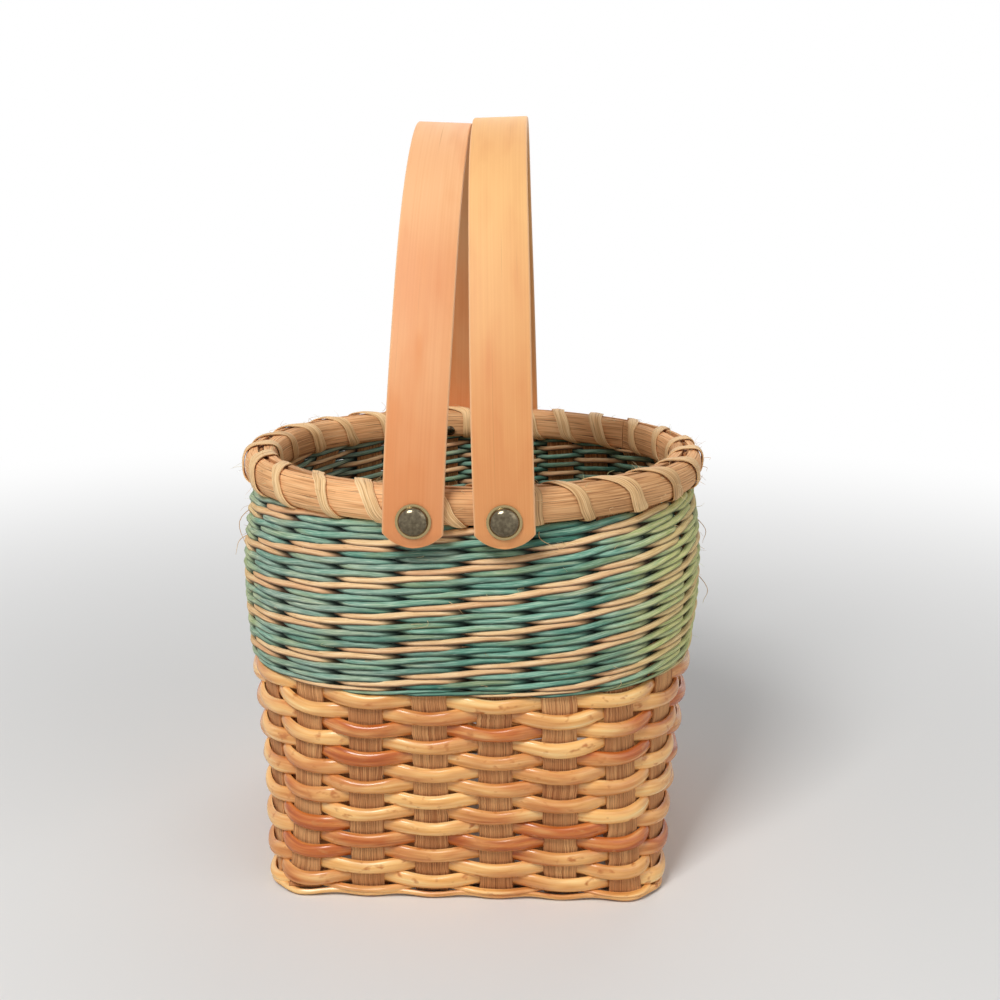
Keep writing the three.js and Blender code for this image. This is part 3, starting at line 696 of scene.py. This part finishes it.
def lashing_rings():
    """A flat strip on a path that winds round a rounded square about both hoops. Its place round
    the rim stands still under the hoops and leans on the outer, upper and inner faces."""
    steps_a_turn, corner_steps, room, nearer, upright_lean = 44, 9, 9.5, 0.1, 0.06
    # Shares of a turn at which it leaves the gap, is over the outer hoop and the inner, and is back
    leaves, outer_top, inner_top, arrives = 0.1, 0.42, 0.58, 0.9
    turns = np.arange(stake_count * steps_a_turn + 1) / steps_a_turn
    k = stake_count - 1 - np.floor(turns - 1e-9)
    k = np.clip(k, 0, stake_count - 1)
    share = turns - (stake_count - 1 - k)
    here, following = lash_passage(k), lash_passage(k - 1)
    random = np.random.default_rng(230)
    lean_out = 0.36 + random.uniform(-0.1, 0.08, stake_count)
    lean_in = 0.32 + random.uniform(-0.1, 0.1, stake_count)
    widths = lash_width * (1 + random.uniform(-0.12, 0.3, stake_count))
    index = k.astype(int)
    out = np.where(by_rivet(here - nearer, room)[0], upright_lean, lean_out[index])
    inn = np.where(by_rivet(following + nearer, room)[0], upright_lean, lean_in[index])
    across_top = (share - outer_top) / (inner_top - outer_top)
    s = np.select(
        [share < leaves, share < outer_top, share < inner_top, share < arrives],
        [
            here,
            here - out * (share - leaves) / (outer_top - leaves),
            here - out + (following + inn - here + out) * across_top,
            following + inn * (arrives - share) / (arrives - inner_top),
        ],
        following,
    )
    kernel = np.hanning(corner_steps)
    kernel /= kernel.sum()
    s, width = (
        np.convolve(np.pad(values, corner_steps // 2, mode="edge"), kernel, mode="valid")
        for values in (s, widths[index])
    )
    angle = -np.pi / 2 + 2 * np.pi * share
    reach_out = outer_from + hoop_thickness + lash_play + lash_thickness / 2
    reach_in = inner_from + hoop_thickness + lash_play + lash_thickness / 2
    half_x, middle_x = (reach_out + reach_in) / 2, (reach_out - reach_in) / 2
    half_z = hoop_height / 2 + 0.25 + lash_thickness / 2
    cos, sin = np.cos(angle), np.sin(angle)
    radial = middle_x + half_x * np.sign(cos) * np.abs(cos) ** (2 / squareness)
    height = half_z * np.sign(sin) * np.abs(sin) ** (2 / squareness)
    turn = rim_turn(s)
    outward = np.stack([np.cos(turn), np.sin(turn), 0 * turn], -1)
    path = outward * (rim_radius + radial)[:, None]
    path[:, 2] = hoop_bottom + hoop_height / 2 + height
    facing = np.sign(cos) * np.abs(cos / half_x) ** 1.25
    rise = np.sign(sin) * np.abs(sin / half_z) ** 1.25
    normal = unit(outward * facing[:, None] + vertical * rise[:, None])
    across = unit(np.cross(np.gradient(path, axis=0), normal))
    a, b = reed_section(1, 1, 0.1)
    fray = wander(turns, 0.25, 0.35, 240)[:, None] * (a > 0)
    fray = fray - wander(turns, 0.25, 0.3, 241)[:, None] * (a < 0)
    rings = (
        path[:, None]
        + across[:, None] * (a * width[:, None] + fray)[..., None]
        + normal[:, None] * (b * lash_thickness)[..., None]
    )
    return turns, rings


turns, rings = lashing_rings()
middles = rings.mean(1)
stained = smooth((middles[:, 0] + 25) / 35) * smooth((-10 - middles[:, 1]) / 40)
skin(
    "rim_lashing_cane",
    rings,
    "lashing_cane",
    flat_cane,
    ["rim_lashing"],
    tone=0.55 * stained - 0.1 + wander(turns, 0.25, 2.2, 250),
)

# Handles
# Ash or similar, steamed and bent over a form: a flat strip with eased edges and rounded ends,
# drilled for one rivet in each leg. The two stand almost crown to crown and swing outwards.
handle_width, handle_thickness = 20.8, 2.6
handle_rise, handle_power = 135, 1.83
handle_tip, handle_round = 9.4, 4.6
handle_standoff, crown_gap = 1.7, 0.15
leg_middle = rim_radius + outer_from + hoop_thickness + handle_standoff + handle_thickness / 2
crown_reach = handle_rise + handle_thickness / 2
handle_lean = np.arcsin((pivot_x - handle_width / 2 - crown_gap) / crown_reach)


def handle_rings(side):
    """An arch whose outline is an ellipse of lower power on two short straight legs. The width
    closes at each end by a shallow arc. It leans from its rivets so that the crowns nearly touch,
    and the left one was bent 2 mm lower. Its rings crowd towards the legs."""
    crowding, edge, least_half, least_inner = 0.24, 0.75, 0.2, 0.05
    t = np.linspace(0, np.pi, 420)
    t = t - crowding * np.sin(2 * t)
    power = 2 / handle_power
    y = -leg_middle * np.sign(np.cos(t)) * np.abs(np.cos(t)) ** power
    z = (handle_rise + side - 1) * np.abs(np.sin(t)) ** power
    half = handle_width / 2
    sagitta = handle_tip - handle_round
    tip_radius = (half**2 + sagitta**2) / (2 * sagitta)
    drop = handle_tip - sagitta * np.linspace(0, 1, 14) ** 2
    drop = np.concatenate([drop, np.linspace(handle_round, 0, 6)[1:-1]])
    leg_y = np.full(len(drop), leg_middle)
    y = np.concatenate([-leg_y, y, leg_y])
    z = np.concatenate([-drop, z, -drop[::-1]])
    path = np.stack([0 * y, y, z], -1)
    below = np.maximum(-z, 0)
    depth = tip_radius - handle_tip + below
    narrowed = np.maximum(np.sqrt(np.maximum(tip_radius**2 - depth**2, 0)), least_half)
    half_width = np.where(below > handle_round, np.minimum(narrowed, half), half)
    tangent = unit(np.gradient(path, axis=0))
    out = np.stack([0 * y, -tangent[:, 2], tangent[:, 1]], -1)
    corner = np.linspace(0, np.pi / 2, 4)
    ease_a = np.concatenate([np.cos(corner + q) for q in np.arange(4) * np.pi / 2]) * edge
    ease_b = np.concatenate([np.sin(corner + q) for q in np.arange(4) * np.pi / 2]) * edge
    sign_a = np.repeat([1, -1, -1, 1], 4)
    sign_b = np.repeat([1, 1, -1, -1], 4)
    inner = np.maximum(half_width - edge, least_inner)[:, None]
    a = sign_a * inner + ease_a
    b = sign_b * (handle_thickness / 2 - edge) + ease_b
    run = lengths(path[:, None])
    wave = wander(run, 0.12, 150, 260 + side)[:, None]
    local = path[:, None] + out[:, None] * (b + 0 * a)[..., None]
    local[..., 0] += a + wave
    lean = -side * handle_lean
    x = local[..., 0] * np.cos(lean) + local[..., 2] * np.sin(lean)
    z = -local[..., 0] * np.sin(lean) + local[..., 2] * np.cos(lean)
    rings = np.stack([x + side * pivot_x, local[..., 1], z + pivot_z], -1)
    # Bare wood and a painted highlight on the narrow sides, less of both round each edge and none on
    # the faces
    eased = np.tile([0.9, 0.9, 0.4, 0, 0, 0.4, 0.9, 0.9], 2)
    return run, rings, smooth(path[:, 2] / handle_rise), np.broadcast_to(eased, a.shape)


# The strips have a satin clear finish over straight, fine grain. The wood is deepest orange near
# the rivets, and the crown is painted paler, as light from above. Its eased edges are lighter,
# partly sanded to bare wood and partly a painted highlight.
bare_and_lit_wood = ("#EBB581", "#F2C190", "#F8CC9F")
left_wood = (
    ("#DC8C54", "#DE9057", "#E0945B"),
    ("#EEB680", "#F1BB86", "#F3BF8B"),
    ("#D6824A", "#D9864F", "#DC8B54"),
)
right_wood = (
    ("#D98F54", "#DB9358", "#DE985D"),
    ("#F0BD79", "#F3C17E", "#F6C683"),
    ("#D4864A", "#D68A4F", "#D98F55"),
)
for name, side, tint, (wood, lit_crown_wood, deep_wood), deep_share, fleck in (
    ("left", -1, "pink", left_wood, 0.25, "#C98552"),
    ("right", 1, "yellow", right_wood, 0.2, "#C4874F"),
):
    satin_ash = fibrous(
        f"bent ash, clear satin, {tint}",
        wood,
        [("pale", 0.35, lit_crown_wood), ("tone", deep_share, deep_wood), ("edge", 0, bare_and_lit_wood)],
        grain=0.7, run=120, patch=34, roughness=0.6, relief=0.01,
        spots=(fleck, 70, 0.5, 0.68),
    )
    # The crown is painted paler as light from above, and the edges get bare wood and a painted
    # highlight.
    run, rings, pale, eased = handle_rings(side)
    skin(
        f"{name}_handle_wood",
        rings,
        "bentwood",
        satin_ash,
        [f"{name}_handle"],
        body=f"{name}_handle",
        shift=4000 + 900 * side,
        pale=pale,
        tone=0.25 + wander(run, 0.15, 80, 270 + side),
        edge=eased,
    )

# Loose fibres
# Hairs that stand off where the cane and the reed were split, along the lashing and the wale, with
# a few longer threads that have come away from the band.


def hair_rings(roots, ways, reach, droop, curl, thickness):
    """Hairs as thin tubes: root + way * reach * t, drooping as t squared, curling as a sine of t
    and thinning to three tenths at the tip. One row of rings a hair."""
    stations, half_waves, thinning = 9, 1.3, 0.7
    t = np.linspace(0, 1, stations)[None, :, None]
    sideways = unit(np.cross(ways, vertical))
    path = roots[:, None] + ways[:, None] * reach[:, None, None] * t
    path = path - vertical * (droop * reach)[:, None, None] * t**2
    path = path + sideways[:, None] * (curl * reach)[:, None, None] * np.sin(np.pi * half_waves * t)
    tangent = unit(np.gradient(path, axis=1))
    first = unit(np.cross(tangent, sideways[:, None] + 0.3))
    second = np.cross(tangent, first)
    angle = np.arange(4) * np.pi / 2
    size = (thickness + 0 * reach)[:, None, None, None] / 2 * (1 - thinning * t[..., None])
    around = first[:, :, None] * np.cos(angle)[:, None]
    around = around + second[:, :, None] * np.sin(angle)[:, None]
    return path[:, :, None] + around * size


def bristles(name, rings):
    """Closed square tubes, one a row of rings: quads between neighbours and one over each end."""
    hairs, stations, points, _ = rings.shape
    j = np.arange(points)
    start = np.arange(hairs)[:, None, None] * stations * points
    row = start + np.arange(stations - 1)[:, None] * points
    a, b = row + j, row + (j + 1) % points
    sides = np.stack([a, b, b + points, a + points], -1).reshape(-1, 4)
    first, last = start[:, 0] + j[::-1], start[:, 0] + (stations - 1) * points + j
    mesh = bpy.data.meshes.new(name)
    places = rings.reshape(-1, 3) / 1000
    mesh.from_pydata(places.tolist(), [], np.concatenate([sides, first, last]).tolist())
    mesh.shade_smooth()
    mesh.materials.append(raw_fibre)
    piece = in_scene(name, mesh)
    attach(piece, "basket_body")


# Bare fibre is dull and pale; its tint drifts from straw to green over some centimetres.
raw_fibre = bpy.data.materials.new("bare plant fibre")
raw_fibre.use_nodes = True
tree = raw_fibre.node_tree
tree.nodes.clear()
tint_size = 25
spot = add(tree, "ShaderNodeTexCoord").outputs["Object"]
drift = {"Vector": spot, "Scale": 1000 / tint_size, "Detail": 1}
drift = add(tree, "ShaderNodeTexNoise", drift).outputs["Fac"]
tints = [(0.35, "#C99A66"), (0.5, "#EBCB9A"), (0.65, "#C9CF9A")]
tint = add(tree, "ShaderNodeValToRGB", {"Fac": drift}, stops=tints).outputs["Color"]
dull = add(tree, "ShaderNodeBsdfPrincipled", {"Base Color": tint, "Roughness": 0.8})
add(tree, "ShaderNodeOutputMaterial", {"Surface": dull.outputs["BSDF"]})

# Roots on the lashing, on a circle round the rim and an ellipse about the hoops
lash_out, lash_up, hair_droop, count = 7.3, 6.7, 0.2, 170
random = np.random.default_rng(300)
turn, around = random.uniform(0, 2 * np.pi, count), random.uniform(-0.5, 2.2, count)
outward = np.stack([np.cos(turn), np.sin(turn), 0 * turn], -1)
onward = np.cross(vertical, outward)
ways = outward * np.cos(around)[:, None] + vertical * np.sin(around)[:, None]
roots = outward * (rim_radius + lash_out * np.cos(around))[:, None]
roots = roots + vertical * (hoop_bottom + hoop_height / 2 + lash_up * np.sin(around))[:, None]
ways = unit(ways * 0.6 + onward * random.uniform(-1, 1, count)[:, None])
reach, curl = random.uniform(1.5, 7, count), random.uniform(-0.4, 0.4, count)
hairs = hair_rings(roots, ways, reach, hair_droop, curl, random.uniform(0.12, 0.24, count))
bristles("lashing_fibres", hairs)

# Roots on the outside of the rods
place, normal = wall_at(random.uniform(0, stake_count, count), random.uniform(88, 147, count))
onward = np.cross(vertical, normal)
ways = normal * random.uniform(0.1, 0.7, count)[:, None]
ways = ways + onward * random.uniform(-1, 1, count)[:, None]
ways = unit(ways + vertical * random.uniform(-0.3, 0.5, count)[:, None])
reach, curl = random.uniform(2, 7, count), random.uniform(-0.5, 0.5, count)
roots = place + normal * rod_diameter
# A handle that is swung down rubs off the hairs under its legs: those whose tips lie within its
# width and reach its arch, with a little room.
tips = roots + ways * reach[:, None]
swung, room_beside, room_inside, stub = np.radians(130), 3, 4, 0.5
aside, above = np.abs(tips[:, 0]) - pivot_x, tips[:, 2] - pivot_z
along_leg = np.clip(aside * np.sin(swung) + above * np.cos(swung), 0, handle_rise)
across_leg = aside * np.cos(swung) - above * np.sin(swung)
leg_y = leg_middle * (1 - (along_leg / handle_rise) ** handle_power) ** (1 / handle_power)
rubbed = np.abs(across_leg) < handle_width / 2 + room_beside
rubbed = rubbed & (np.abs(tips[:, 1]) > leg_y - room_inside)
reach = np.where(rubbed, stub, reach)
hairs = hair_rings(roots, ways, reach, hair_droop, curl, random.uniform(0.12, 0.22, count))
bristles("wale_fibres", hairs)

# Longer threads: stake number, height, length, and how far each leaves the wall and rises
thread_off, thread_droop, thread_curl, thread_thickness = 2.6, 0.15, 0.3, 0.4
threads = np.array([
    [22.4, 138, 15, 0.25, -1],
    [22.7, 129, 8, 0.6, -0.6],
    [8.3, 133, 13, 0.45, -0.8],
    [7.7, 113, 14, 0.4, -0.9],
    [8.9, 143, 9, 0.8, 0.5],
    [3.7, 147, 9, 0.5, -0.3],
    [19.4, 145, 10, 0.3, -0.9],
    [14.2, 120, 11, 0.4, -0.7],
])
place, normal = wall_at(threads[:, 0], threads[:, 1])
onward = np.cross(vertical, normal)
ways = unit(normal * threads[:, 3:4] + onward * 0.25 + vertical * threads[:, 4:5])
roots = place + normal * thread_off
hairs = hair_rings(roots, ways, threads[:, 2], thread_droop, thread_curl, thread_thickness)
bristles("wale_loose_threads", hairs)

# Rivets
# Brass-plated steel, two a handle: a domed cap with a thin flange outside, on a post whose flat
# head is inside the rim. The plating has darkened to grey olive, and the flange keeps more yellow.
worn_brass = bpy.data.materials.new("aged brass plate, polished dome")
worn_brass.use_nodes = True
tree = worn_brass.node_tree
tree.nodes.clear()
mottle_size = 10 / 9
mottle = {"Vector": add(tree, "ShaderNodeTexCoord").outputs["Object"], "Scale": 1000 / mottle_size}
mottle = add(tree, "ShaderNodeTexNoise", {**mottle, "Detail": 4}).outputs["Fac"]
stops = [(0.3, "#5C5241"), (0.5, "#6C6250"), (0.7, "#7E745E")]
plate = add(tree, "ShaderNodeValToRGB", {"Fac": mottle}, stops=stops).outputs["Color"]
flange = add(tree, "ShaderNodeAttribute", attribute_name="flange").outputs["Fac"]
yellowed = {0: flange, 6: plate, 7: linear("#A8946A")}
brass = add(tree, "ShaderNodeMix", yellowed, data_type="RGBA").outputs[2]
scuff = {"Value": mottle, "To Min": 0.08, "To Max": 0.24}
scuff = add(tree, "ShaderNodeMapRange", scuff).outputs["Result"]
plating = {"Base Color": brass, "Metallic": 1.0, "Roughness": scuff}
metal = add(tree, "ShaderNodeBsdfPrincipled", plating)
add(tree, "ShaderNodeOutputMaterial", {"Surface": metal.outputs["BSDF"]})


def turned_rings(radii, places, x, facing):
    """A profile of radii turned about a line parallel to Y at a rivet."""
    angle = np.linspace(0, 2 * np.pi, 41)[:-1]
    radii, places = np.asarray(radii, float)[:, None], np.asarray(places, float)[:, None]
    y = facing * places + 0 * angle
    return np.stack([x + radii * np.cos(angle), y, pivot_z + radii * np.sin(angle)], -1)


cap_radius, cap_flange, cap_rise, dome_radius, cap_play = 6.1, 0.7, 3.1, 5.1, 0.1
head_radius, post_radius, head_play = 2.3, 2.1, 0.2
cap_face = leg_middle + handle_thickness / 2 + cap_play
# The cap's profile: the back, the rounded flange, and a dome whose radius is a power of a sine
dome = np.linspace(np.pi / 2, 0.03, 16)
flange_radii = [0.3, *(cap_radius - np.array([0.2, 0, 0, 0.25])), dome_radius + 0.15]
flange_places = [0, 0, 0.15, cap_flange - 0.1, cap_flange, cap_flange - 0.12]
cap_radii = [*flange_radii, *(dome_radius * np.sin(dome) ** 0.85)]
cap_places = [*flange_places, *(cap_flange + (cap_rise - cap_flange) * np.cos(dome))]
cap_places = np.array(cap_places) + cap_face
# The post's: a flat head just inside the inner hoop, and the shank out to the cap
hoop_inside = rim_radius - inner_from - hoop_thickness
head_place = np.sqrt(hoop_inside**2 - (pivot_x + head_radius) ** 2) - head_play
post_radii = [0.3, 1.7, 2.2, head_radius, head_radius, post_radius, post_radius, 0.3]
post_places = [head_place + p for p in (-0.75, -0.7, -0.5, -0.3, 0, 0)] + [cap_face, cap_face]
for end, facing in (("front", -1), ("back", 1)):
    for name, side in (("left", -1), ("right", 1)):
        for part, radii, places, sharp, flange_rings in (
            ("cap", cap_radii, cap_places, 50, len(flange_radii)),
            ("post", post_radii, post_places, 35, 0),
        ):
            node = f"rivet_{part}_{end}_{name}"
            rings = turned_rings(radii, places, side * pivot_x, facing)
            flange = np.arange(len(radii)) < flange_rings
            skin(
                f"{node}_brass", rings, "aged_brass", worn_brass, [node], sharp=sharp, flange=flange
            )

# Floor, light and backdrop
# A pale floor that keeps the shadow, a white surround that only the camera and mirrors see, and
# three broad lamps: the key from the upper left front, a weaker fill and a light from behind.
floor_mesh = bpy.data.meshes.new("floor")
floor_mesh.from_pydata([(-4, -4, 0), (4, -4, 0), (4, 4, 0), (-4, 4, 0)], [], [(0, 1, 2, 3)])
floor = in_scene("floor", floor_mesh)
paper = bpy.data.materials.new("studio paper, matte")
floor_mesh.materials.append(paper)
world = bpy.data.worlds.new("studio")
bpy.context.scene.world = world
# In both trees, seen is one for rays from the camera and from mirrors and zero for the others.
trees, seen = [], []
for owner in (paper, world):
    owner.use_nodes = True
    tree = owner.node_tree
    tree.nodes.clear()
    ray = add(tree, "ShaderNodeLightPath").outputs
    either = ray["Is Camera Ray"]
    for kind in ("Is Glossy Ray", "Is Transmission Ray"):
        both = {0: either, 1: ray[kind]}
        either = add(tree, "ShaderNodeMath", both, operation="MAXIMUM").outputs["Value"]
    trees.append(tree)
    seen.append(either)
tree = trees[0]
shadow_reach, paper_reach = 0.15, 0.9
matte = add(tree, "ShaderNodeBsdfDiffuse", {"Color": linear("#E6E5E3")})
bright = add(tree, "ShaderNodeEmission", {"Color": (1, 1, 1, 1), "Strength": 1.0})
spot = add(tree, "ShaderNodeTexCoord").outputs["Object"]
distance = add(tree, "ShaderNodeVectorMath", {0: spot}, operation="LENGTH").outputs["Value"]
fade = {"Value": distance, "From Min": shadow_reach, "From Max": paper_reach}
fade = add(tree, "ShaderNodeMapRange", fade, interpolation_type="SMOOTHSTEP").outputs["Result"]
share = add(tree, "ShaderNodeMath", {0: fade, 1: seen[0]}, operation="MULTIPLY").outputs["Value"]
shown = {0: share, 1: matte.outputs["BSDF"], 2: bright.outputs["Emission"]}
shown = add(tree, "ShaderNodeMixShader", shown).outputs["Shader"]
add(tree, "ShaderNodeOutputMaterial", {"Surface": shown})
tree = trees[1]
ambient = add(tree, "ShaderNodeBackground", {"Color": linear("#EDEFF2"), "Strength": 0.3})
white = add(tree, "ShaderNodeBackground", {"Color": (1, 1, 1, 1), "Strength": 1.0})
shown = {0: seen[1], 1: ambient.outputs["Background"], 2: white.outputs["Background"]}
shown = add(tree, "ShaderNodeMixShader", shown).outputs["Shader"]
add(tree, "ShaderNodeOutputWorld", {"Surface": shown})
lamp_aim = np.array([0, 0, 0.1])
for name, place, size, power in (
    ("key_lamp", (-0.4, -0.8, 1.1), 0.45, 12),
    ("fill_lamp", (0.9, -0.6, 0.7), 0.9, 2.5),
    ("back_lamp", (0.2, 0.9, 0.9), 0.8, 3),
):
    lamp = bpy.data.lights.new(name, "AREA")
    lamp.size = size
    lamp.energy = power
    lamp_object = in_scene(name, lamp)
    towards = unit(lamp_aim - place)
    side_way = unit(np.cross(towards, vertical))
    aimed = np.eye(4)
    aimed[:3, :4] = np.stack([side_way, np.cross(side_way, towards), -towards, place], axis=1)
    lamp_object.matrix_world = aimed.T.tolist()
bpy.context.scene.view_settings.view_transform = "Standard"
